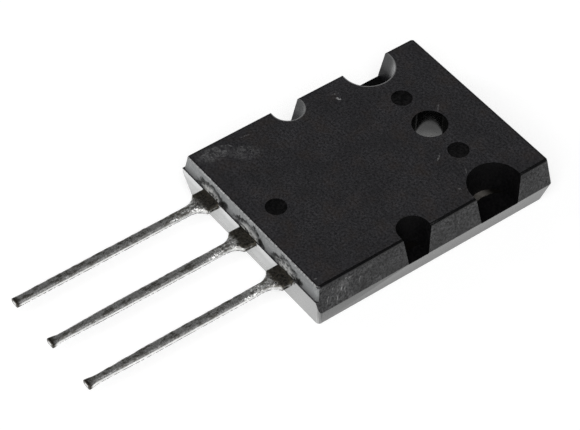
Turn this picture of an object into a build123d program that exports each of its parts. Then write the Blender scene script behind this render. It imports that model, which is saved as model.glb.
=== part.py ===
from build123d import *
import os
from math import radians, tan

# A large plastic power transistor with three leads in line and an exposed heat spreader.
# Millimetres. The origin is the centre of the mounting hole on the back, which is the heat-sink face.
# +Z points to the marked front face, and the leads run towards -Y. Lead 1, the base, is at -X.

# Moulded case
case_width = 19.9          # at its widest line, along the sides
case_height = 5.0
hole_to_top_end = 6.05     # hole centre to the end without leads, at its widest line
hole_to_lead_end = 19.95   # hole centre to the end with the leads, at its widest line
hole_diameter = 3.3
draft_up = 8.0             # degrees, on every wall of the front mould half
side_draft_down = 15.0     # degrees, on the sides and the plain end of the back mould half
lead_draft_down = 9.0      # degrees, on the lead end of the back mould half
parting_ledge = 0.12       # how far the back mould half stands proud at the lead end
corner_radius = 0.35
corner_overlap = 0.4       # of the two halves' walls at the corners of the lead end
arris_radius = 0.25

# Side notches, two on each side, which end just below the heat spreader's top
notch_centre_x = 9.0
large_notch_y = 0.0
large_notch_radius = 2.05
small_notch_y = -9.0
small_notch_radius = 1.08
notch_draft = 8.5
notch_floor_drop = 0.1     # from the heat spreader's top down to the plastic floor

# Ejector marks in the front face
mark_diameter = 1.95
mark_depth = 0.12
mark_spread_x = 4.0        # of the pair beside the hole
mark_lead_y = -16.9        # of the single mark near the leads

# Heat spreader
plate_thickness = 2.05
plate_width = 17.1         # at its top
plate_lip = 0.25           # by which its top overhangs its back, to lock it in the plastic
plate_lip_height = 0.6
top_end_wall = 1.0         # plastic beyond the plate at the plain end, at the back
lead_end_wall = 2.35       # plastic beyond the plate at the lead end
plate_corner = 1.5         # chamfer of the corners at the plain end
plate_hole_diameter = 6.2
plate_scallop_radius = 3.0
plate_scallop_depth = 1.0  # into the plate's side, level with the hole

# Leads
lead_pitch = 5.45
lead_thickness = 0.6
lead_top = 3.5             # height of the leads' front faces above the heat-sink face
lead_width = 1.0
lead_length = 20.15        # out of the case
root_width = 2.5
root_straight = 1.15       # length of the wide root out of the case
root_length = 2.45         # out of the case to the end of its curved shoulder
lead_edge_radius = 0.25    # of the tinned long edges
pad_width = 4.2            # inner bonding pads of the outer leads
pad_length = 2.1
pad_corner = 0.4
neck_width = 1.7           # between pad and root, where the plastic locks the lead
neck_length = 0.8
wall_over_neck = 0.7       # plastic between the neck and the case's end

# Downset between the heat spreader and the centre lead
downset_overlap = 1.0      # of the thin gauge on the plate
downset_bend_radius = 0.5

# Chip and bond wires
die_size = 6.0
die_thickness = 0.3
die_y = -10.4
solder_size = 6.4
solder_thickness = 0.06
base_contact_x = -1.8
emitter_contact_x = 1.2    # between the two emitter wires
contact_offset_y = -1.2    # of all three contacts from the middle of the chip
base_wire_diameter = 0.38
emitter_wire_diameter = 0.5
emitter_chip_pitch = 1.2   # of the emitter wires on the chip
emitter_pad_pitch = 1.5    # of the emitter wires on their pad
wire_loop_height = 0.75    # of the wires' centre line above the leads' front faces
loop_start = 0.3           # share of a wire's span at which its level part starts
loop_end = 0.7             # share of the span at which it ends
foot_length = 1.0          # of a wire's flattened end
foot_flare = 1.3           # width of that end in wire diameters
foot_press = 0.6           # height of that end in wire diameters

plate_top = plate_thickness
side_parting = plate_thickness
lead_floor = lead_top - lead_thickness
lead_end_y = -hole_to_lead_end
plate_bottom_y = lead_end_y + lead_end_wall
plate_top_y = hole_to_top_end - top_end_wall
tip_y = lead_end_y - lead_length


def inset(height, angle):
    """How far a wall drafted by this angle leans over this height."""
    return height * tan(radians(angle))


def face_of(*points):
    """A flat face bounded by straight lines through the points."""
    return make_face(Polyline(*points, close=True))


# A block with drafted walls and rounded corners. Its half width and its two ends are given at one
# height, and each draft leans its wall inwards going up, or outwards where it is negative.
def drafted_block(at_height, half_width, lead_y, top_y, side_draft, lead_draft):
    def wall(position, angle, height):
        return position - inset(height - at_height, angle)

    across = face_of(
        (-wall(half_width, side_draft, 0), 0),
        (wall(half_width, side_draft, 0), 0),
        (wall(half_width, side_draft, case_height), case_height),
        (-wall(half_width, side_draft, case_height), case_height),
    )
    along = face_of(
        (-wall(-lead_y, lead_draft, 0), 0),
        (wall(top_y, side_draft, 0), 0),
        (wall(top_y, side_draft, case_height), case_height),
        (-wall(-lead_y, lead_draft, case_height), case_height),
    )
    reach = 2 * hole_to_lead_end
    block = extrude(Plane.XZ * across, reach, both=True) & extrude(Plane.YZ * along, reach, both=True)
    corners = [edge for edge in block.edges() if abs(edge.tangent_at(0.5).Z) > 0.9]
    return fillet(corners, corner_radius)


# The case before its cuts: what the front and the back mould halves share. They part level with the
# heat spreader's top along the sides, and level with the leads' front faces at the lead end.
def case_blank():
    half = case_width / 2
    rise = lead_top - side_parting
    front_lead_y = lead_end_y + parting_ledge - inset(rise, draft_up)
    back_lead_y = lead_end_y + inset(rise, lead_draft_down)
    front = drafted_block(side_parting, half, front_lead_y, hole_to_top_end, draft_up, draft_up)
    below_leads = drafted_block(
        side_parting, half, front_lead_y - corner_overlap, hole_to_top_end, draft_up, draft_up
    )
    below_leads &= Pos(0, 0, lead_top - case_height) * Box(
        3 * case_width, 3 * hole_to_lead_end, 2 * case_height
    )
    back = drafted_block(
        side_parting, half, back_lead_y, hole_to_top_end, -side_draft_down, -lead_draft_down
    )
    blank = back & (front + below_leads)
    front_edges = blank.faces().sort_by(Axis.Z)[-1].outer_wire().edges()
    return fillet(front_edges, arris_radius)


# A side notch: a round-ended slot, open at the side and drafted open towards the front
def notch_cut(side, y, radius):
    floor = plate_top - notch_floor_drop
    reach = case_width / 2
    outline = Circle(radius) + Pos(reach / 2, 0) * Rectangle(reach, 2 * radius)
    if side < 0:
        outline = Rot(0, 0, 180) * outline
    start = Pos(side * notch_centre_x, y, floor)
    return extrude(start * outline, case_height, taper=-notch_draft)


def case_cuts():
    cuts = [Cylinder(hole_diameter / 2, case_height, align=(Align.CENTER, Align.CENTER, Align.MIN))]
    for side in (-1, 1):
        cuts.append(notch_cut(side, large_notch_y, large_notch_radius))
        cuts.append(notch_cut(side, small_notch_y, small_notch_radius))
    for x, y in ((-mark_spread_x, 0), (mark_spread_x, 0), (0, mark_lead_y)):
        cuts.append(Pos(x, y, case_height) * Cylinder(mark_diameter / 2, 2 * mark_depth))
    return cuts


# The flat outline of one lead outside the case, from its buried end down to its tip
def lead_outline(buried_y):
    half_root = root_width / 2
    half_lead = lead_width / 2
    shoulder_top = (half_root, lead_end_y - root_straight)
    shoulder_end = (half_lead, lead_end_y - root_length)
    right = [
        Line((half_lead, tip_y), shoulder_end),
        TangentArc(shoulder_end, shoulder_top, tangent=(0, 1)),
        Line(shoulder_top, (half_root, buried_y)),
    ]
    left = [mirror(edge, Plane.YZ) for edge in right]
    ends = [
        Line((-half_lead, tip_y), (half_lead, tip_y)),
        Line((-half_root, buried_y), (half_root, buried_y)),
    ]
    return make_face(right + left + ends)


# A lead as a bar of the thin gauge, its long edges rounded by the tinning
def lead_bar(buried_y):
    bar = Pos(0, 0, lead_floor) * extrude(lead_outline(buried_y), lead_thickness)
    long_edges = [edge for edge in bar.edges() if abs(edge.tangent_at(0.5).Y) > 0.1]
    return fillet(long_edges, lead_edge_radius)


# An outer lead: the bar, a narrow neck that locks it in the plastic, and a wide bonding pad
def outer_lead(x):
    neck_start = lead_end_y + wall_over_neck
    pad_start = neck_start + neck_length
    neck = Pos(0, neck_start + neck_length / 2) * Rectangle(neck_width, neck_length)
    pad = Pos(0, pad_start + pad_length / 2) * RectangleRounded(pad_width, pad_length, pad_corner)
    inner = Pos(0, 0, lead_floor) * extrude(neck + pad, lead_thickness)
    return Pos(x, 0, 0) * (lead_bar(neck_start) + inner)


# The heat spreader: a thick plate with a lip at its top, a wide hole and a scallop on each side
def plate():
    def layer(half_width, start, height):
        outline = face_of(
            (-half_width, plate_bottom_y),
            (half_width, plate_bottom_y),
            (half_width, plate_top_y - plate_corner),
            (half_width - plate_corner, plate_top_y),
            (-half_width + plate_corner, plate_top_y),
            (-half_width, plate_top_y - plate_corner),
        )
        outline -= Circle(plate_hole_diameter / 2)
        for side in (-1, 1):
            centre = side * (half_width + plate_scallop_radius - plate_scallop_depth)
            outline -= Pos(centre, large_notch_y) * Circle(plate_scallop_radius)
        return Pos(0, 0, start) * extrude(outline, height)

    half_top = plate_width / 2
    lip_start = plate_thickness - plate_lip_height
    return layer(half_top - plate_lip, 0, lip_start) + layer(half_top, lip_start, plate_lip_height)


# The collector frame: the plate and the centre lead, joined by a bent strip of the thin gauge
def collector_frame():
    low = plate_top - lead_thickness / 2
    high = lead_top - lead_thickness / 2
    rise = high - low
    bend_top_y = lead_end_y + wall_over_neck
    path = FilletPolyline(
        (plate_bottom_y + downset_overlap, low),
        (bend_top_y + rise, low),
        (bend_top_y, high),
        (lead_end_y, high),
        radius=downset_bend_radius,
    )
    strip = extrude(Plane.YZ * trace(path, lead_thickness), root_width / 2, both=True)
    return plate() + strip + lead_bar(lead_end_y)


def bare_die():
    return Pos(0, die_y, plate_top + solder_thickness + die_thickness / 2) * Box(
        die_size, die_size, die_thickness
    )


def die_solder_layer():
    return Pos(0, die_y, plate_top + solder_thickness / 2) * Box(solder_size, solder_size, solder_thickness)


# A bond wire: a round wire in an upright plane, with a flattened foot on the chip and one on the pad
def bond_wire(chip_point, pad_point, diameter):
    die_top = plate_top + solder_thickness + die_thickness
    start = Vector(chip_point[0], chip_point[1], die_top + diameter / 2)
    end = Vector(pad_point[0], pad_point[1], lead_top + diameter / 2)
    along = Vector(end.X - start.X, end.Y - start.Y, 0)
    span = along.length
    plane = Plane(origin=(start.X, start.Y, 0), x_dir=along, z_dir=along.cross(Vector(0, 0, 1)))
    peak = lead_top + wire_loop_height
    route = FilletPolyline(
        (-foot_length / 2, start.Z),
        (foot_length / 2, start.Z),
        (span * loop_start, peak),
        (span * loop_end, peak),
        (span - foot_length / 2, end.Z),
        (span + foot_length / 2, end.Z),
        radius=diameter,
    )
    route = plane * route
    section = Plane(origin=route @ 0, z_dir=route % 0) * Circle(diameter / 2)
    wire = sweep(section, path=route)
    foot = Box(
        foot_length, diameter * foot_flare, diameter * foot_press, align=(Align.CENTER, Align.CENTER, Align.MIN)
    )
    turn = plane.x_dir.get_signed_angle(Vector(1, 0, 0), Vector(0, 0, -1))
    for point in (start, end):
        wire += Pos(point.X, point.Y, point.Z - diameter / 2) * Rot(0, 0, turn) * foot
    return wire


def bond_wires():
    pad_y = lead_end_y + wall_over_neck + neck_length + pad_length / 2
    chip_y = die_y + contact_offset_y
    wires = {"base_bond_wire": bond_wire((base_contact_x, chip_y), (-lead_pitch, pad_y), base_wire_diameter)}
    for number, step in ((1, -0.5), (2, 0.5)):
        chip = (emitter_contact_x + step * emitter_chip_pitch, chip_y)
        pad = (lead_pitch + step * emitter_pad_pitch, pad_y)
        wires[f"emitter_bond_wire_{number}"] = bond_wire(chip, pad, emitter_wire_diameter)
    return wires


pieces = {
    "collector_frame": collector_frame(),
    "base_lead": outer_lead(-lead_pitch),
    "emitter_lead": outer_lead(lead_pitch),
    "die_solder": die_solder_layer(),
    "transistor_die": bare_die(),
    **bond_wires(),
}
case = case_blank() - case_cuts() - list(pieces.values())
pieces = {"moulded_case": case, **pieces}

os.makedirs("parts", exist_ok=True)
for name, piece in pieces.items():
    export_step(piece, f"parts/{name}.step")
    print(name, len(piece.solids()), round(piece.volume, 2))
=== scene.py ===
import math

import bmesh
import bpy
from mathutils import Matrix, Vector


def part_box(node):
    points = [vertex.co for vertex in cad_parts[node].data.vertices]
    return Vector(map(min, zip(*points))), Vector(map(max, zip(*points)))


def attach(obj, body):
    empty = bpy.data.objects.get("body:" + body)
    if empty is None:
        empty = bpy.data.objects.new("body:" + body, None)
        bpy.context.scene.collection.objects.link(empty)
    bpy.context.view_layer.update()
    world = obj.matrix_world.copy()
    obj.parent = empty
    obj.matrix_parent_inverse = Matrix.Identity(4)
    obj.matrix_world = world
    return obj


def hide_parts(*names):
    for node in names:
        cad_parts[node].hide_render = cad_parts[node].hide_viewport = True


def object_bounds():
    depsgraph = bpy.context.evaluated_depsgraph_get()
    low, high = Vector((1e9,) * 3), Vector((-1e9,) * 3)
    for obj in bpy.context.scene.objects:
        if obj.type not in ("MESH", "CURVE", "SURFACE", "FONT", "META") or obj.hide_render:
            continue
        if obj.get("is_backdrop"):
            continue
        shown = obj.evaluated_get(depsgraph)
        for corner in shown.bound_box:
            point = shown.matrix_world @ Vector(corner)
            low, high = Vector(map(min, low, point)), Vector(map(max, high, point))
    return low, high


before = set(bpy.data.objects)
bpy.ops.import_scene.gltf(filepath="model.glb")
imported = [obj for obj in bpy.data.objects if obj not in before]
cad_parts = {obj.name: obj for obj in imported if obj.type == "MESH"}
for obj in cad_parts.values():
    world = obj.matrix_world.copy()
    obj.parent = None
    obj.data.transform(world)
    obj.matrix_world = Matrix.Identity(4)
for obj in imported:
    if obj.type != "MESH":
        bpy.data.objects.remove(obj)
cad_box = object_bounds()

MM = 0.001

# Camera: a long lens above the lead end's right-hand corner.
# Its angles and distance were fitted to the outline, the notches and the lead tips in the photograph.
camera_azimuth = math.radians(53.139)
camera_elevation = math.radians(47.304)
camera_roll = math.radians(0.360)
camera_distance = 222.431 * MM
camera_target = Vector((-2.204, -13.747, 0.0)) * MM
camera_lens = 156.55
camera_sensor = 36.0

backward = Vector((
    math.sin(camera_azimuth) * math.cos(camera_elevation),
    -math.cos(camera_azimuth) * math.cos(camera_elevation),
    math.sin(camera_elevation),
))
level_right = Vector((math.cos(camera_azimuth), math.sin(camera_azimuth), 0.0))
level_up = backward.cross(level_right)
camera_right = math.cos(camera_roll) * level_right + math.sin(camera_roll) * level_up
camera_up = math.cos(camera_roll) * level_up - math.sin(camera_roll) * level_right


def put_in_scene(name, data):
    made = bpy.data.objects.new(name, data)
    bpy.context.scene.collection.objects.link(made)
    return made


camera_data = bpy.data.cameras.new("photo_camera")
camera_data.sensor_width = camera_sensor
camera_data.lens = camera_lens
camera_data.clip_start = 0.01
camera_data.clip_end = 20.0
camera = put_in_scene("photo_camera", camera_data)
camera.matrix_world = Matrix.Translation(camera_target + camera_distance * backward) @ Matrix(
    (camera_right, camera_up, backward)
).transposed().to_4x4()
bpy.context.scene.camera = camera
bpy.context.scene.view_settings.view_transform = "Standard"


# Studio: a wide white floor, a world that is white near the horizon and dim overhead, and two soft lamps.
# The flat tops of the leads mirror the dim part overhead, and the walls of the case mirror the white floor.
class Number:
    """A number that a node gives. Arithmetic with it adds Math nodes to the same tree."""

    def __init__(self, tree, socket):
        self.tree = tree
        self.socket = socket

    def calc(self, operation, *values):
        """The result of one Math node."""
        made = node(self.tree, "ShaderNodeMath", dict(enumerate(values)), operation=operation)
        return Number(self.tree, made.outputs[0])

    def __add__(self, other):
        return self.calc("ADD", self, other)

    def __sub__(self, other):
        return self.calc("SUBTRACT", self, other)

    def __rsub__(self, other):
        return self.calc("SUBTRACT", other, self)

    def __mul__(self, other):
        return self.calc("MULTIPLY", self, other)

    def __truediv__(self, other):
        return self.calc("DIVIDE", self, other)

    def __pow__(self, other):
        return self.calc("POWER", self, other)

    def __abs__(self):
        return self.calc("ABSOLUTE", self)

    def __round__(self):
        return self.calc("ROUND", self)


def fill(tree, made, inputs):
    """Set a node's inputs; one whose value comes from another node is linked."""
    for key, value in inputs.items():
        if isinstance(value, Number):
            value = value.socket
        if isinstance(value, bpy.types.NodeSocket):
            tree.links.new(value, made.inputs[key])
        else:
            made.inputs[key].default_value = value


def node(tree, kind, inputs=None, **settings):
    """Add a node with these settings and inputs."""
    made = tree.nodes.new(kind)
    for key, value in settings.items():
        setattr(made, key, value)
    fill(tree, made, inputs or {})
    return made


def largest(first, *others):
    for other in others:
        first = first.calc("MAXIMUM", first, other)
    return first


def smallest(first, *others):
    for other in others:
        first = first.calc("MINIMUM", first, other)
    return first


def smooth_step(value, low, high, at_low=0.0, at_high=1.0):
    """at_low where value is low, at_high where it is high, and a smooth change between them."""
    made = node(value.tree, "ShaderNodeMapRange", {
        "Value": value, "From Min": low, "From Max": high, "To Min": at_low, "To Max": at_high,
    }, interpolation_type="SMOOTHSTEP")
    return Number(value.tree, made.outputs[0])


def axes_of(tree, place):
    """A vector's three numbers, by axis."""
    separate = node(tree, "ShaderNodeSeparateXYZ", {0: place}).outputs
    return {axis: Number(tree, separate[axis]) for axis in "XYZ"}


def grey(level):
    """A neutral colour."""
    return (level, level, level, 1)


floor_size = 6.0
floor_albedo = 0.42
near_glow = 0.70           # for rays that see the floor, so that with the lit colour it comes to white
far_glow = 1.0             # where the lamps no longer reach
near_floor = 0.12
far_floor = 1.1

floor_material = bpy.data.materials.new("white_floor")
floor_material.use_nodes = True
tree = floor_material.node_tree
tree.nodes.clear()
place = node(tree, "ShaderNodeTexCoord").outputs["Object"]
from_middle = node(tree, "ShaderNodeVectorMath", {0: place}, operation="LENGTH").outputs["Value"]
wanted_glow = smooth_step(Number(tree, from_middle), near_floor, far_floor, near_glow, far_glow)
path = node(tree, "ShaderNodeLightPath").outputs
seen_or_mirrored = largest(*(
    Number(tree, path[ray]) for ray in ("Is Camera Ray", "Is Glossy Ray", "Is Transmission Ray")
))
lit = node(tree, "ShaderNodeBsdfDiffuse", {"Color": grey(floor_albedo)})
glow = node(tree, "ShaderNodeEmission", {"Color": grey(1), "Strength": seen_or_mirrored * wanted_glow})
both = node(tree, "ShaderNodeAddShader", {0: lit.outputs[0], 1: glow.outputs[0]})
node(tree, "ShaderNodeOutputMaterial", {"Surface": both.outputs[0]})

half_floor = floor_size / 2
floor_mesh = bpy.data.meshes.new("floor")
floor_mesh.from_pydata(
    [(half_floor * x, half_floor * y, 0) for x, y in ((-1, -1), (1, -1), (1, 1), (-1, 1))],
    [], [(0, 1, 2, 3)],
)
floor_mesh.materials.append(floor_material)
floor = put_in_scene("floor", floor_mesh)
floor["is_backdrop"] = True

horizon_white = 1.0
overhead_grey = 0.10
horizon_height = 0.02      # the sine of the elevation up to which the world is white
dim_height = 0.20          # and from which it is dim

world = bpy.data.worlds.new("studio")
bpy.context.scene.world = world
world.use_nodes = True
tree = world.node_tree
tree.nodes.clear()
height = axes_of(tree, node(tree, "ShaderNodeTexCoord").outputs["Generated"])["Z"]
dimming = smooth_step(height, horizon_height, dim_height, horizon_white, overhead_grey)
sky = node(tree, "ShaderNodeBackground", {"Color": grey(1), "Strength": dimming})
node(tree, "ShaderNodeOutputWorld", {"Surface": sky.outputs[0]})


def soft_lamp(name, place, size, power):
    """A square area lamp in place, facing the object."""
    data = bpy.data.lights.new(name, "AREA")
    data.shape = "SQUARE"
    data.size = size
    data.energy = power
    lamp = put_in_scene(name, data)
    lamp.location = place
    lamp.rotation_euler = (-Vector(place)).to_track_quat("-Z", "Y").to_euler()


soft_lamp("key_lamp", place=(0.55, -0.45, 0.85), size=0.9, power=11.5)
soft_lamp("side_lamp", place=(-0.7, -0.75, 0.45), size=0.4, power=3.0)


# Moulded case: black epoxy moulding compound, moulded in one shot round the frame, the chip and the wires.
# The front mould half is spark-eroded to a fine matt grain; the back half below the parting line is polished.
case_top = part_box("moulded_case")[1].z / MM
plate_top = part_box("die_solder")[0].z / MM      # the solder lies on the plate
hole_radius = 1.65
notches = ((0.0, 2.05), (-9.0, 1.08))       # y of each pair's middle, and its radius at the floor
notch_middle_x = 9.0
notch_floor_z = plate_top - 0.1
notch_slope = math.tan(math.radians(8.5))
lead_pitch = 5.45
crease_angle = math.radians(30)
edge_softness = 0.05
merge_distance = 0.0005 * MM


def new_material(name):
    """A material with an empty tree, and its Principled shader joined to the output."""
    material = bpy.data.materials.new(name)
    material.use_nodes = True
    tree = material.node_tree
    tree.nodes.clear()
    shader = node(tree, "ShaderNodeBsdfPrincipled")
    node(tree, "ShaderNodeOutputMaterial", {"Surface": shader.outputs[0]})
    return material, tree, shader


def scaled(tree, vector, factor):
    return node(tree, "ShaderNodeVectorMath", {0: vector, "Scale": factor}, operation="SCALE").outputs[0]


def millimetres(tree):
    """Object coordinates, in millimetres."""
    return scaled(tree, node(tree, "ShaderNodeTexCoord").outputs["Object"], 1000.0)


def soft_noise(tree, place, scale, detail=3.0, roughness=0.6):
    """Noise with features about 1/scale mm wide."""
    return Number(tree, node(tree, "ShaderNodeTexNoise", {
        "Vector": place, "Scale": scale, "Detail": detail, "Roughness": roughness,
    }).outputs[0])


def noise(tree, place, scale, detail=3.0, roughness=0.6, low=0.35, high=0.65):
    """The same noise with more contrast: low becomes 0 and high becomes 1."""
    return Number(tree, node(tree, "ShaderNodeMapRange", {
        "Value": soft_noise(tree, place, scale, detail, roughness), "From Min": low, "From Max": high,
    }).outputs[0])


def relief(tree, height, strength, depth):
    """The Normal of a surface whose height goes up and down by depth."""
    bump = node(tree, "ShaderNodeBump", {"Strength": strength, "Distance": depth, "Height": height})
    return bump.outputs[0]


def mix_colour(share, first, second):
    """first where share is 0, second where it is 1. A colour mix uses a Mix node's sockets 0, 6 and 7."""
    return node(share.tree, "ShaderNodeMix", {0: share, 6: first, 7: second}, data_type="RGBA").outputs[2]


def square(value):
    return value * value


def root(value):
    return value.calc("SQRT", value)


def stroke_mask(across, along, middle, angle, length, width):
    """1 on one thin scratch in the plane of two axes, 0 elsewhere. The angle is in radians."""
    across, along = across - middle[0], along - middle[1]
    lengthwise = across * math.cos(angle) + along * math.sin(angle)
    crosswise = along * math.cos(angle) - across * math.sin(angle)
    return smooth_step(square(lengthwise / (length / 2)) + square(crosswise / (width / 2)), 1.0, 0.1)


stain_height = 3.45         # z of the middle of the flux stains
stain_half_width = 1.9      # of the ring of burnt flux round a root
stain_half_height = 1.15


def flux_stains_and_seam_shadow(tree, place, axes):
    """Two masks on the lead end, round each root: burnt flux with a painted shadow along the root's seam, and
    the pale streaks between its spots.
    """
    number = largest(smallest(round(axes["X"] / lead_pitch), 1.0), -1.0)    # the nearest lead: -1, 0 or 1
    beside = axes["X"] - number * lead_pitch
    above = axes["Z"] - stain_height
    ragged = (noise(tree, place, 1.3, detail=4.0) - 0.5) * 0.36
    # 1 on the ring's outer edge, and less inside it.
    far = root(square(beside / stain_half_width) + square(above / stain_half_height)) + ragged
    mottled = noise(tree, place, 2.6, detail=4.0, roughness=0.7, low=0.42, high=0.58)
    ragged_edge = (noise(tree, place, 2.2) - 0.5) * 0.4
    ragged_above = above + ragged_edge
    inside = smooth_step(far, 0.90, 0.60)

    ring = smooth_step(far, 0.70, 0.86) * smooth_step(far, 1.16, 0.98) * (0.95 - mottled * 0.5)
    blob = stroke_mask(
        beside + ragged_edge, ragged_above, middle=(1.62, 0.28), angle=0.2, length=1.75, width=0.95)
    arch = stroke_mask(beside, ragged_above, middle=(-1.25, 0.66), angle=0.30, length=2.8, width=0.46)
    # A painted shadow: a dark band on the wall right along the top of each root.
    seam_shadow = smooth_step(above, 0.34, 0.20) * smooth_step(abs(beside), 1.45, 1.20)
    specks = inside * (1.0 - mottled) * 0.75
    streak = stroke_mask(beside, ragged_above, middle=(-0.45, 0.42), angle=0.15, length=1.7, width=0.42)
    return largest(ring, blob, arch, seam_shadow, specks), largest(inside * mottled * 0.8, streak)


rim_highlight_start = 0.05           # outside a notch's mouth
rim_highlight_width = 0.13


def painted_rim_highlights(axes):
    """1 on a thin line round the mouths of the two notches on the far side, 0 elsewhere on the front face: a
    painted highlight on their edges.
    """
    lines = []
    for middle_y, radius in notches:
        mouth = radius + (case_top - notch_floor_z) * notch_slope
        from_middle = root(square(axes["X"] + notch_middle_x) + square(axes["Y"] - middle_y))
        lines.append(smooth_step(from_middle, mouth + rim_highlight_width, mouth + rim_highlight_start))
    return largest(*lines)


smudge_brown = (0.036, 0.022, 0.012, 1)
flux_and_shadow_black = grey(0.002)
flux_pale = (0.48, 0.48, 0.47, 1)
rim_highlight_share = 0.6
coat_roughness = 0.12
grain_depth = 0.04 * MM


def moulded_plastic(
    name, dark, light, smudge=0.0, rough=0.45, rough_spread=0.15, grain=0.3, coat=0.0, ior=1.5,
    fades=(), marked_axes="XY", marks=(), mark_colour=None, rim_highlight=False, burnt=False,
):
    """Black compound in one finish: speckled between two colours, with brown smudges, grain and scratches."""
    material, tree, shader = new_material(name)
    place = millimetres(tree)
    axes = axes_of(tree, place)
    speckle = noise(tree, place, 4.8, roughness=0.75, low=0.38, high=0.64)
    cloud = noise(tree, place, 0.5, high=0.7)
    colour = mix_colour(speckle * (cloud * 0.5 + 0.5), dark, light)
    if smudge:
        smudges = noise(tree, place, 0.42, detail=4.0, roughness=0.65, low=0.50, high=0.68)
        colour = mix_colour(smudges * smudge, colour, smudge_brown)
    for axis, start, end, faded in fades:
        colour = mix_colour(smooth_step(axes[axis], start, end), colour, faded)
    if marks:
        across, along = (axes[axis] for axis in marked_axes)
        marked = largest(*(
            stroke_mask(across, along, middle, math.radians(angle), length, width) * strength
            for middle, angle, length, width, strength in marks
        ))
        broken = noise(tree, place, 4.5, detail=4.0, roughness=0.75, low=0.44, high=0.60)
        colour = mix_colour(marked * broken, colour, mark_colour)
    # A pale line painted round the far notches' mouths: a painted highlight on their edges.
    if rim_highlight:
        colour = mix_colour(painted_rim_highlights(axes) * rim_highlight_share, colour, mark_colour)
    if burnt:
        # Burnt flux round each root, and a painted shadow along each root's seam, in black.
        burnt_flux_and_seam_shadow, pale = flux_stains_and_seam_shadow(tree, place, axes)
        colour = mix_colour(burnt_flux_and_seam_shadow, colour, flux_and_shadow_black)
        colour = mix_colour(pale, colour, flux_pale)
    eroded = soft_noise(tree, place, 7.0, detail=4.0, roughness=0.7)
    fill(tree, shader, {
        "Base Color": colour,
        "Roughness": speckle * rough_spread + rough,
        "Normal": relief(tree, eroded, grain, grain_depth),
        "IOR": ior,
        "Coat Weight": coat,
        "Coat Roughness": coat_roughness,
    })
    return material


# Each scuff: its middle on the two axes, its angle in degrees, and its length, width and strength.
front_scuffs = (
    ((-7.31, -4.61), 30, 0.60, 0.32, 3.0), ((-7.95, -4.50), 75, 0.95, 0.16, 0.61),
    ((-8.62, -16.29), 65, 0.70, 0.20, 0.48), ((-8.26, -15.80), 20, 0.70, 0.18, 0.48),
    ((-8.46, -14.06), 80, 1.10, 0.18, 0.54), ((-6.68, -14.75), 40, 0.50, 0.26, 0.48),
    ((-6.18, -14.77), 100, 0.50, 0.22, 0.41), ((-7.60, -15.10), 35, 0.60, 0.18, 0.41),
    ((3.66, -1.94), -51, 1.20, 0.20, 0.54), ((-1.10, 1.82), -44, 1.20, 0.18, 0.54),
    ((7.73, -2.89), 20, 0.40, 0.26, 0.48), ((8.59, -19.14), 0, 0.30, 0.30, 0.68),
    ((6.40, -1.10), -30, 0.90, 0.16, 0.34), ((5.10, -6.90), 65, 0.80, 0.14, 0.27),
    ((-8.30, -17.60), 80, 3.80, 2.00, 0.37), ((-6.80, -15.20), 60, 3.60, 2.00, 0.2),
)
side_scuffs = (
    ((-17.25, 3.58), 84, 1.40, 0.20, 0.9), ((-17.74, 2.72), 80, 1.40, 0.20, 0.8),
    ((-16.42, 4.36), -12, 1.20, 0.24, 0.9), ((-18.16, 4.01), 60, 0.60, 0.20, 0.7),
    ((-16.90, 3.30), 95, 1.10, 0.18, 0.7), ((-15.30, 3.50), 70, 1.10, 0.18, 0.6),
    ((-18.70, 3.20), 75, 1.00, 0.18, 0.6), ((-4.60, 3.40), 85, 1.00, 0.18, 0.4),
    ((-17.00, 3.90), 20, 2.60, 1.40, 0.35), ((-14.60, 4.20), 5, 2.00, 0.60, 0.25),
)

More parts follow.
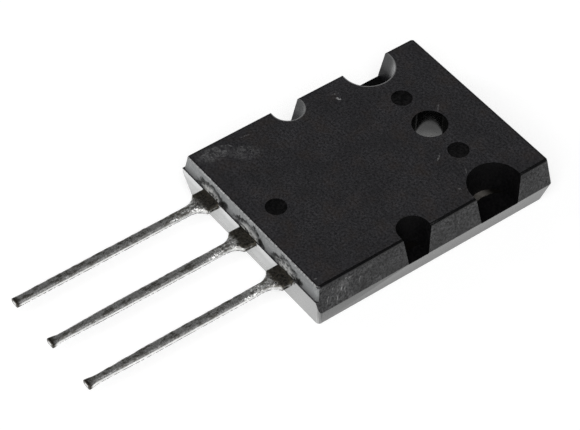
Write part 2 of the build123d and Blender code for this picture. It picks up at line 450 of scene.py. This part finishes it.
# Each finish of the case. A fade: along which axis, from where to where in millimetres, and to what colour.
finishes = {
    "matt": dict(
        dark=(0.0045, 0.0043, 0.0055, 1), light=(0.037, 0.036, 0.040, 1), smudge=0.2,
        marks=front_scuffs, mark_colour=grey(0.26), rim_highlight=True),
    "side": dict(
        dark=grey(0), light=(0.140, 0.140, 0.143, 1), rough=0.5, rough_spread=0.3, grain=0.6, ior=1.28,
        marked_axes="YZ", marks=side_scuffs, mark_colour=grey(0.36)),
    # The lead end above the parting line is painted mid grey and darker towards its foot: painted light, the
    # sheen of the lamps on this wall.
    "end": dict(
        dark=(0.23, 0.237, 0.24, 1), light=(0.34, 0.347, 0.35, 1), rough=0.36, ior=1.25, burnt=True,
        fades=(("Z", 4.5, 3.5, (0.13, 0.133, 0.135, 1)),)),
    # A painted highlight: the rounded top edge of the lead end is painted pale.
    "end_arris_painted_highlight": dict(dark=grey(0.08), light=grey(0.50), rough=0.25, grain=0.2),
    "arris": dict(
        dark=(0.0015, 0.0015, 0.002, 1), light=grey(0.004), rough=0.16, rough_spread=0.1, grain=0.1, ior=1.4),
    # The polished back and lower walls are painted darker towards the bottom: painted shade of the floor's
    # contact shadow.
    "polished": dict(
        dark=(0.060, 0.062, 0.060, 1), light=(0.066, 0.068, 0.066, 1), rough=0.2, rough_spread=0.05,
        grain=0.03, coat=0.35, ior=1.45, fades=(("Z", 1.9, 0.3, grey(0.005)),)),
    # The lower lead end is painted mid grey, paler towards the parting line and darker towards the bottom and
    # towards +X: a painted reflection of the white floor.
    "polished_end_painted_reflection": dict(
        dark=(0.31, 0.32, 0.315, 1), light=(0.34, 0.35, 0.345, 1), rough=0.2, rough_spread=0.05,
        grain=0.03, coat=1.0, ior=1.6,
        fades=(("Z", 1.9, 0.0, (0.19, 0.195, 0.19, 1)), ("Z", 2.1, 3.3, (0.66, 0.67, 0.67, 1)),
               ("X", 1.0, 8.5, (0.04, 0.041, 0.04, 1)))),
    "notch": dict(
        dark=(0.001, 0.001, 0.0012, 1), light=(0.005, 0.0047, 0.005, 1), rough=0.55, grain=0.2, ior=1.15),
    # The walls facing -Y in the far notches are painted pale, darker towards the outer edge and the bottom:
    # painted light of the lamps on these walls.
    "painted_lit_notch": dict(
        dark=(0.34, 0.345, 0.35, 1), light=(0.80, 0.805, 0.81, 1), rough=0.35, ior=1.3,
        fades=(("X", -7.0, -8.6, (0.06, 0.061, 0.063, 1)), ("Z", 3.9, 2.7, (0.004, 0.004, 0.005, 1)))),
    # The bore's camera-facing side is painted lighter towards its foot: a painted reflection of the floor
    # seen through the hole.
    "bore": dict(
        dark=grey(0.001), light=grey(0.003), rough=0.10, rough_spread=0.08, grain=0.0, ior=1.8,
        fades=(("Z", 2.9, 1.3, (0.30, 0.30, 0.29, 1)),)),
    "near_bore": dict(dark=grey(0.001), light=grey(0.003), rough=0.5, grain=0.1, ior=1.15),
    "mark": dict(
        dark=(0.0010, 0.0010, 0.0012, 1), light=(0.010, 0.0095, 0.010, 1), rough=0.3, grain=0.15, ior=1.25),
}
finish_names = list(finishes)
reflecting_side = Vector((0.8, -0.6, 0.0))    # the bore is polished on the side that faces this way, towards the camera, and that side is painted lighter towards its foot, a painted reflection of the floor under the hole
bore_lead_in = 0.42         # chamfer of the hole's edge on the back
mark_depth = 0.1            # of the three ejector marks
top_band = 0.3              # height below the front face that holds its rounded edge


def finish_of(centre, normal):
    """Which finish a face of the case has, by its middle in millimetres and the unit vector that it faces."""
    below_front = centre.z < case_top - 0.01
    on_front_edge = centre.z > case_top - top_band
    # The hole's wall and its lead-in.
    if math.hypot(centre.x, centre.y) < hole_radius + bore_lead_in + 0.03 and abs(normal.z) < 0.99:
        return "bore" if normal.dot(reflecting_side) > 0.68 else "near_bore"
    # The floors and the upright walls of the ejector marks.
    if below_front and centre.z > case_top - mark_depth - 0.05 and (normal.z > 0.9 or abs(normal.z) < 0.05):
        return "mark"
    # The notches, whose walls run straight from their round ends out through the side of the case.
    from_round_end = max(notch_middle_x - abs(centre.x), 0.0)
    for middle_y, radius in notches:
        opening = radius + (centre.z - notch_floor_z) * notch_slope
        in_notch = math.hypot(from_round_end, centre.y - middle_y) < opening + 0.04
        if in_notch and below_front and centre.z > notch_floor_z - 0.05:
            return "painted_lit_notch" if centre.x < 0 and normal.y < -0.35 else "notch"
    # Below the parting line every wall faces a little downwards, and so does the back.
    if normal.z < -0.05:
        return "polished_end_painted_reflection" if normal.y < -0.6 else "polished"
    # The softened front edge at the lead end, the lead end, the other walls and the other front edges.
    if -0.8 < normal.y < -0.1 and normal.z > 0.2 and on_front_edge:
        return "end_arris_painted_highlight" if -0.75 < normal.y < -0.4 and abs(normal.x) < 0.3 else "matt"
    if normal.y < -0.35:
        return "end"
    if normal.z < 0.2:
        return "side"
    if normal.z < 0.9995 and on_front_edge:
        return "arris"
    return "matt"


shell = bmesh.new()
shell.from_mesh(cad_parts["moulded_case"].data)
bmesh.ops.remove_doubles(shell, verts=shell.verts, dist=merge_distance)
bmesh.ops.dissolve_limit(shell, angle_limit=math.radians(0.5), verts=shell.verts[:], edges=shell.edges[:])
hole_rim = [
    edge for edge in shell.edges
    if all(
        abs(corner.co.z) < 0.001 * MM and abs(corner.co.xy.length - hole_radius * MM) < 0.02 * MM
        for corner in edge.verts
    )
]
bmesh.ops.bevel(shell, geom=hole_rim, offset=bore_lead_in * MM, segments=1, affect="EDGES", profile=0.5)
for face in shell.faces:
    face.smooth = True
    face.material_index = finish_names.index(finish_of(face.calc_center_median() / MM, face.normal))
mesh = bpy.data.meshes.new("case_shell")
shell.to_mesh(mesh)
shell.free()
for finish, look in finishes.items():
    mesh.materials.append(moulded_plastic(finish + "_compound", **look))
mesh.set_sharp_from_angle(angle=crease_angle)
case = put_in_scene("case_shell", mesh)
soft_edges = case.modifiers.new("soft_edges", "BEVEL")
soft_edges.width = edge_softness * MM
soft_edges.segments = 2
soft_edges.limit_method = "ANGLE"
soft_edges.angle_limit = crease_angle
flat_faces = case.modifiers.new("flat_faces", "WEIGHTED_NORMAL")
flat_faces.keep_sharp = False
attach(case, "root")
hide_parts("moulded_case")


# Heat spreader, pads and neck: stamped copper, plated; the plate lies flush with the back of the case.
# Its edge shows as a thin crescent in the floor of each notch, and the leads go on from it outside the case.
lead_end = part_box("moulded_case")[0].y
buried = 0.3 * MM            # how far inside the case the outer leads start
clean_plating = (0.62, 0.60, 0.57, 1)
tarnished_plating = (0.44, 0.41, 0.37, 1)
browned_plating = (0.56, 0.53, 0.49, 1)
tarnished_brown = (0.30, 0.28, 0.25, 1)
flash_brown = (0.02, 0.018, 0.016, 1)


def stretched(tree, place, scales):
    """Coordinates for a pattern that is drawn out along the axes with small scales."""
    return node(tree, "ShaderNodeMapping", {"Vector": place, "Scale": scales}).outputs[0]


plate_material, tree, shader = new_material("plated_copper")
place = millimetres(tree)
plate_axes = axes_of(tree, place)
tarnish = noise(tree, place, 1.2, detail=4.0, high=0.7)
clean = mix_colour(tarnish, clean_plating, tarnished_plating)
browned = mix_colour(tarnish, browned_plating, tarnished_brown)
# A film of plastic flash darkens part of the crescent in each notch.
large_notch_y, small_notch_y = (middle_y for middle_y, radius in notches)
flash_in_small = smooth_step(plate_axes["Y"], small_notch_y - 0.7, small_notch_y - 0.2) * smooth_step(
    plate_axes["Y"], small_notch_y + 4.0, small_notch_y + 3.0)
flash_in_large = smooth_step(plate_axes["Y"], large_notch_y + 0.1, large_notch_y + 1.2)
browned = mix_colour(largest(flash_in_large, flash_in_small), browned, flash_brown)
in_notch_floor = smooth_step(plate_axes["Z"], plate_top - 0.75, plate_top - 0.05)
roll_marks = soft_noise(tree, stretched(tree, place, (12.0, 0.4, 12.0)), 1.0, detail=4.0, roughness=0.5)
fill(tree, shader, {
    "Base Color": mix_colour(in_notch_floor, clean, browned),
    "Roughness": roll_marks * 0.25 + 0.38,
    "Normal": relief(tree, roll_marks, strength=0.2, depth=0.01 * MM),
    "Metallic": 1.0,
})

for piece_name, cad_name in (
    ("base_pad", "base_lead"), ("emitter_pad", "emitter_lead"), ("heat_spreader", "collector_frame")
):
    solid = bmesh.new()
    solid.from_mesh(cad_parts[cad_name].data)
    bmesh.ops.remove_doubles(solid, verts=solid.verts, dist=merge_distance)
    everything = solid.verts[:] + solid.edges[:] + solid.faces[:]
    cut = bmesh.ops.bisect_plane(
        solid, geom=everything, plane_co=(0, lead_end + buried, 0), plane_no=(0, -1, 0), clear_outer=True
    )
    rim = [item for item in cut["geom_cut"] if isinstance(item, bmesh.types.BMEdge)]
    bmesh.ops.contextual_create(solid, geom=rim)
    bmesh.ops.dissolve_limit(solid, angle_limit=math.radians(1), verts=solid.verts[:], edges=solid.edges[:])
    mesh = bpy.data.meshes.new(piece_name)
    solid.to_mesh(mesh)
    solid.free()
    mesh.materials.append(plate_material)
    inner = put_in_scene(piece_name, mesh)
    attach(inner, "root")
    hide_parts(cad_name)


# Leads outside the case: three bars of the thin gauge, dipped in tin, which rounds their edges.
# The tin lies thick and mottled on the curved shoulders; the cut tips of two leads have a small flared burr.
lead_low, lead_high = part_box("base_lead")
lead_width = 1.0 * MM
lead_thickness = lead_high.z - lead_low.z
lead_height = (lead_high.z + lead_low.z) / 2
lead_sizes = {
    "Lead pitch": lead_pitch * MM,
    "Lead width": lead_width,
    "Thickness": lead_thickness,
    "Middle height": lead_height,
    "Root width": 2.5 * MM,
    "Root straight": 1.15 * MM,
    "Root length": 2.45 * MM,
    "Case end": lead_end,
    "Buried": buried,
    "Tip": lead_low.y,
    "Edge radius": 0.28 * MM,
    "Tip rounding": 0.05 * MM,
    "Neck": 0.10 * MM,
    "Neck start": 7.0 * MM,
    "Neck full": 0.6 * MM,
    "Burr": 0.02 * MM,
    "Flare start": 0.95 * MM,
    "Flare full": 0.15 * MM,
    "Mottle": 0.11 * MM,
    "Mottle start": 0.1 * MM,
    "Mottle full": 1.4 * MM,
    "Mottle fade": 2.6 * MM,
    "Mottle end": 5.5 * MM,
    "Lumps per metre": 1500.0,
    "Seed": 3.0,
}
new_tin = (0.95, 0.95, 0.94, 1)
dull_and_shaded_tin = (0.36, 0.36, 0.35, 1)
stained_tin = (0.10, 0.094, 0.078, 1)
flux_dark = (0.025, 0.022, 0.018, 1)
flux_brown = (0.13, 0.118, 0.095, 1)
tip_rim_reflection_brown = (0.06, 0.054, 0.045, 1)
edge_reflection_black = (0.02, 0.019, 0.017, 1)
dimple_depth = 0.15
streak_depth = 0.007
# Where each stain starts and where it is full, in millimetres outside the case or from the tip.
flux_ends, flux_full = 1.65, 0.75
flux_raggedness = 0.6
crust_ends, crust_full = 0.47, 0.27
side_crust_ends, side_crust_full = 1.35, 1.05
rim_starts, rim_full = 0.50, 0.08
rim_width = (0.40, 0.52)     # as shares of the half width, from the middle
dimples_start, dimples_full, dimples_fade, dimples_end = 0.45, 1.25, 2.85, 5.55

tin_material, tree, shader = new_material("dipped_tin")
place = millimetres(tree)
tin_axes = axes_of(tree, place)
facing = axes_of(tree, node(tree, "ShaderNodeNewGeometry").outputs["Normal"])
from_case = lead_end / MM - tin_axes["Y"]       # how far outside the case, in millimetres
from_tip = tin_axes["Y"] - lead_low.y / MM
on_top = smooth_step(facing["Z"], 0.25, 0.8)
off_bottom = smooth_step(facing["Z"], -0.95, -0.80)
off_top = 1.0 - on_top
unlit = smooth_step(facing["X"], 0.3, -0.3)
fine = noise(tree, place, 4.0)
patches = noise(tree, place, 1.9, detail=4.0, roughness=0.65)
blotches = noise(
    tree, stretched(tree, place, (1.8, 0.8, 1.8)), 1.5, detail=5.0, roughness=0.75, low=0.45, high=0.56)
dull = noise(
    tree, stretched(tree, place, (4.0, 0.35, 4.0)), 1.0, detail=4.0, roughness=0.65, low=0.40, high=0.62)
stain = blotches * (on_top * 0.85 + 0.05)
# The sides are duller in streaks, and the side that faces -X is painted darker still: painted shade.
tin_colour = mix_colour(off_top * (unlit * 0.35 + dull * 0.45), new_tin, dull_and_shaded_tin)
tin_colour = mix_colour(stain, tin_colour, stained_tin)
# Burnt flux lies on the roots next to the case, on their tops and in patches down their sides.
speckled = smooth_step(fine, 0.25, 0.55)
flux = smooth_step(from_case - patches * flux_raggedness, flux_ends, flux_full) * (on_top * 0.85 + 0.1)
crust = smooth_step(from_case, crust_ends, crust_full) * speckled
side_crust = smooth_step(from_case, side_crust_ends, side_crust_full) * smooth_step(patches, 0.30, 0.50)
side_crust = side_crust * off_top * off_bottom
tin_colour = mix_colour(
    largest(flux, crust, side_crust), tin_colour, mix_colour(fine, flux_dark, flux_brown))
# A dark brown rim is painted round the rounded edge of each tip: a painted reflection of the dim sky in that
# edge.
beside = abs(tin_axes["X"] - round(tin_axes["X"] / lead_pitch) * lead_pitch) / (lead_width / 2 / MM)
above = abs(tin_axes["Z"] - lead_height / MM) / (lead_thickness / 2 / MM)
painted_tip_rim = smooth_step(from_tip, rim_starts, rim_full) * smooth_step(largest(beside, above), *rim_width)
tin_colour = mix_colour(painted_tip_rim, tin_colour, tip_rim_reflection_brown)
# The lower edge is painted dark in short stretches: a painted reflection of the shade under the lead.
lower_edge_reflection = smooth_step(facing["Z"], 0.02, -0.18) * off_bottom * speckled
tin_colour = mix_colour(lower_edge_reflection, tin_colour, edge_reflection_black)
# Dimples on the shoulders, which fade out along the lead, and faint streaks all along it.
on_shoulder = smooth_step(from_case, dimples_start, dimples_full) * smooth_step(
    from_case, dimples_end, dimples_fade)
dimples = soft_noise(tree, place, 3.2, detail=4.0, roughness=0.7) * on_shoulder
streaks = soft_noise(tree, stretched(tree, place, (5.0, 1.2, 5.0)), 1.0, detail=5.0, roughness=0.5)
fill(tree, shader, {
    "Base Color": tin_colour,
    "Roughness": fine * 0.12 + (stain * 0.25 + 0.22),
    "Normal": relief(tree, dimples * dimple_depth + streaks * streak_depth, strength=1.0, depth=1.0 * MM),
    "Metallic": 1.0,
})

tree = bpy.data.node_groups.new("tinned_leads", "GeometryNodeTree")
tree.interface.new_socket("Geometry", in_out="OUTPUT", socket_type="NodeSocketGeometry")
for size_name in lead_sizes:
    tree.interface.new_socket(size_name, in_out="INPUT", socket_type="NodeSocketFloat")
inputs = node(tree, "NodeGroupInput").outputs
given = {size_name: Number(tree, inputs[size_name]) for size_name in lead_sizes}


def vector_calc(tree, operation, *values):
    """The result of a Vector Math node."""
    return node(tree, "ShaderNodeVectorMath", dict(enumerate(values)), operation=operation).outputs["Vector"]


def vector_of(tree, x=0.0, y=0.0, z=0.0):
    return node(tree, "ShaderNodeCombineXYZ", {"X": x, "Y": y, "Z": z}).outputs[0]


# Each lead is formed from a small block with a fine grid, one of three in a row across the case.
lead_count = 3
block_side = 1.0 * MM
root_crowding = 1.4          # above 1, the block's rows of points lie closer together near the case
block = node(tree, "GeometryNodeMeshCube", {
    "Size": (block_side, block_side, block_side), "Vertices X": 20, "Vertices Y": 420, "Vertices Z": 9,
})
centres = node(tree, "GeometryNodeMeshLine", {
    "Count": lead_count,
    "Start Location": vector_of(tree, x=given["Lead pitch"] * ((1 - lead_count) / 2)),
    "Offset": vector_of(tree, x=given["Lead pitch"]),
})
copies = node(tree, "GeometryNodeInstanceOnPoints", {
    "Points": centres.outputs[0], "Instance": block.outputs["Mesh"],
})
solid = node(tree, "GeometryNodeRealizeInstances", {"Geometry": copies.outputs[0]})
at = axes_of(tree, node(tree, "GeometryNodeInputPosition").outputs[0])
number = round(at["X"] / given["Lead pitch"])      # -1, 0 or 1
centre_x = number * given["Lead pitch"]
across = (at["X"] - centre_x) / (block_side / 2)
upwards = at["Z"] / (block_side / 2)
share = largest(0.5 - at["Y"] / block_side, 0.0) ** root_crowding
start_y = given["Case end"] + given["Buried"]
y = share * (given["Tip"] - start_y) + start_y
out_of_case = given["Case end"] - y
left_to_tip = y - given["Tip"]

# The shoulder is an arc that runs tangentially into the straight lead.
half_lead = given["Lead width"] * 0.5
shoulder_rise = given["Root width"] * 0.5 - half_lead
shoulder_run = given["Root length"] - given["Root straight"]
shoulder_radius = (square(shoulder_rise) + square(shoulder_run)) / shoulder_rise / 2.0
in_shoulder = smallest(largest(given["Root length"] - out_of_case, 0.0), shoulder_run)
half_width = half_lead + (shoulder_radius - root(square(shoulder_radius) - square(in_shoulder)))

# Only the middle lead and the emitter lead have a burr, where the bar first thins and then flares.
has_burr = number.calc("GREATER_THAN", number, -0.5)
thinning = smooth_step(left_to_tip, given["Neck start"], given["Neck full"]) * has_burr
flare = smooth_step(left_to_tip, given["Flare start"], given["Flare full"]) * has_burr
half_width = half_width - thinning * given["Neck"] + flare * (given["Burr"] + given["Neck"])
half_height = given["Thickness"] * 0.5
radius = given["Edge radius"]

# Rounding: a point of the square bar moves to a set radius about the nearest point of a smaller bar in it.
bar_x = across * half_width
bar_z = upwards * half_height
reach_x = half_width - radius
reach_z = half_height - radius
on_bar = vector_of(tree, bar_x, y, bar_z)
inner_point = vector_of(
    tree,
    largest(smallest(bar_x, reach_x), reach_x * -1.0),
    largest(y, given["Tip"] + given["Tip rounding"]),
    largest(smallest(bar_z, reach_z), reach_z * -1.0),
)
outwards = vector_calc(tree, "NORMALIZE", vector_calc(tree, "SUBTRACT", on_bar, inner_point))
away = vector_calc(tree, "MULTIPLY", outwards, vector_of(tree, radius, given["Tip rounding"], radius))
rounded = vector_calc(tree, "ADD", inner_point, away)

# Mottled tin: low lumps all over, and much stronger ones on the shoulders.
placed = vector_calc(tree, "ADD", rounded, vector_of(tree, x=centre_x))
lump_noise = Number(tree, node(tree, "ShaderNodeTexNoise", {
    "Vector": placed, "W": given["Seed"], "Scale": given["Lumps per metre"], "Detail": 3.0, "Roughness": 0.55,
}, noise_dimensions="4D").outputs[0])
on_shoulder = smooth_step(out_of_case, given["Mottle start"], given["Mottle full"]) * smooth_step(
    out_of_case, given["Mottle end"], given["Mottle fade"])
off_tip = smooth_step(left_to_tip, 0.02 * MM, 0.15 * MM)
lump_height = given["Mottle"] * (on_shoulder * 0.75 + 0.10) * off_tip
lumped = vector_calc(tree, "ADD", placed, scaled(tree, outwards, (lump_noise - 0.5) * lump_height))
raised = vector_calc(tree, "ADD", lumped, vector_of(tree, z=given["Middle height"]))
formed = node(tree, "GeometryNodeSetPosition", {"Geometry": solid.outputs[0], "Position": raised})
normal_y = axes_of(tree, node(tree, "GeometryNodeInputNormal").outputs[0])["Y"]
off_the_cap = normal_y.calc("GREATER_THAN", normal_y, -0.7)
smooth = node(tree, "GeometryNodeSetShadeSmooth", {
    "Geometry": formed.outputs[0], "Shade Smooth": off_the_cap,
})
tinned = node(tree, "GeometryNodeSetMaterial", {"Geometry": smooth.outputs[0], "Material": tin_material})
node(tree, "NodeGroupOutput", {"Geometry": tinned.outputs[0]})

leads = put_in_scene("tinned_leads", bpy.data.meshes.new("tinned_leads_start"))
forming = leads.modifiers.new("tinned_leads", "NODES")
forming.node_group = tree
for item in tree.interface.items_tree:
    if item.in_out == "INPUT":
        forming[item.identifier] = lead_sizes[item.name]
mesh = bpy.data.meshes.new_from_object(leads.evaluated_get(bpy.context.evaluated_depsgraph_get()))
mesh.name = "tinned_leads"
leads.modifiers.clear()
leads.data = mesh
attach(leads, "root")
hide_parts("base_lead", "emitter_lead", "collector_frame")


# Chip and its solder: a silicon die on a thin layer of soft solder on the plate, both hidden in the plastic.
# The die's top is metallised; its sawn edges stay dark, and the solder has the dull skin of a slow cooling.
die_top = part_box("transistor_die")[1].z / MM
die_edge = (0.07, 0.075, 0.085, 1)
bright_metal = (0.62, 0.63, 0.65, 1)
clouded_metal = (0.48, 0.49, 0.51, 1)
bright_solder = (0.52, 0.51, 0.49, 1)
dull_solder = (0.33, 0.32, 0.30, 1)

die_material, tree, shader = new_material("metallised_silicon")
place = millimetres(tree)
metallised = smooth_step(axes_of(tree, place)["Z"], die_top - 0.05, die_top - 0.01)
clouded = noise(tree, place, 1.1, detail=4.0)
fill(tree, shader, {
    "Base Color": mix_colour(metallised, die_edge, mix_colour(clouded, bright_metal, clouded_metal)),
    "Roughness": clouded * 0.15 + 0.25,
    "Metallic": metallised,
})

solder_material, tree, shader = new_material("soft_solder")
skin = noise(tree, millimetres(tree), 2.0, detail=4.0, roughness=0.65)
fill(tree, shader, {
    "Base Color": mix_colour(skin, bright_solder, dull_solder),
    "Roughness": skin * 0.3 + 0.35,
    "Metallic": 1.0,
})

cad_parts["transistor_die"].material_slots[0].material = die_material
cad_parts["die_solder"].material_slots[0].material = solder_material


# Bond wires: thick soft aluminium, pressed flat and rubbed onto the chip and the pads by ultrasound.
# Drawing leaves faint lines along them.
bright_aluminium = (0.80, 0.80, 0.81, 1)
dull_aluminium = (0.66, 0.66, 0.67, 1)

wire_material, tree, shader = new_material("drawn_aluminium")
drawn_lines = noise(tree, stretched(tree, millimetres(tree), (9.0, 0.7, 9.0)), 1.0)
fill(tree, shader, {
    "Base Color": mix_colour(drawn_lines, bright_aluminium, dull_aluminium),
    "Roughness": drawn_lines * 0.2 + 0.3,
    "Metallic": 1.0,
})

for wire_name in ("base_bond_wire", "emitter_bond_wire_1", "emitter_bond_wire_2"):
    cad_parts[wire_name].material_slots[0].material = wire_material


visual_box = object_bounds()
({
    "cad": [list(corner) for corner in cad_box],
    "visual": [list(corner) for corner in visual_box],
})
